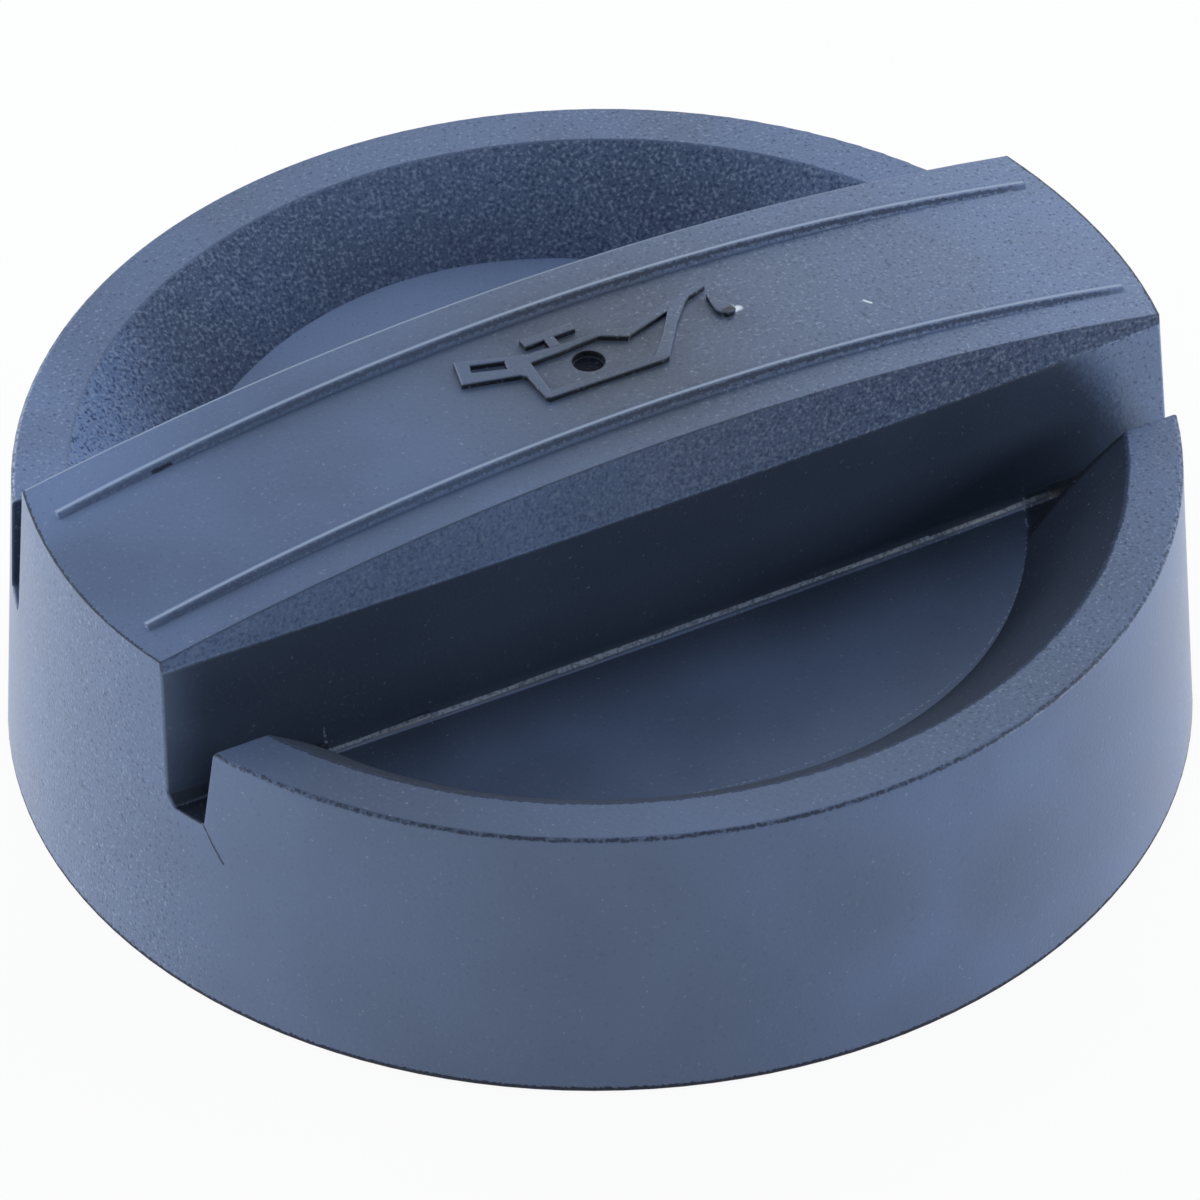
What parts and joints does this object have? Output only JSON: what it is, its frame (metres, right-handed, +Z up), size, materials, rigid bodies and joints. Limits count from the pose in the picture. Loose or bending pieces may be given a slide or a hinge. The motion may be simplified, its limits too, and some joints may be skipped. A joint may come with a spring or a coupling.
{
  "type": "oil filler cap",
  "caption": "Round moulded oil filler cap with an arched grip bar, finger pockets, a hollow bayonet stem and a rubber sealing ring.",
  "frame": {"origin": "centre of the skirt's base ring, on the cap's axis", "axes": "+Z up along the cap's axis, +X along the grip bar, +Y across it"},
  "size_m": [0.068, 0.068, 0.0251],
  "materials": {
    "cap_body": "moulded, satin, faint blue-grey",
    "sealing_ring": "matte black"
  },
  "bodies": {
    "root": {"cap_body": "cap_body", "sealing_ring": "sealing_ring"}
  },
  "joints": []
}
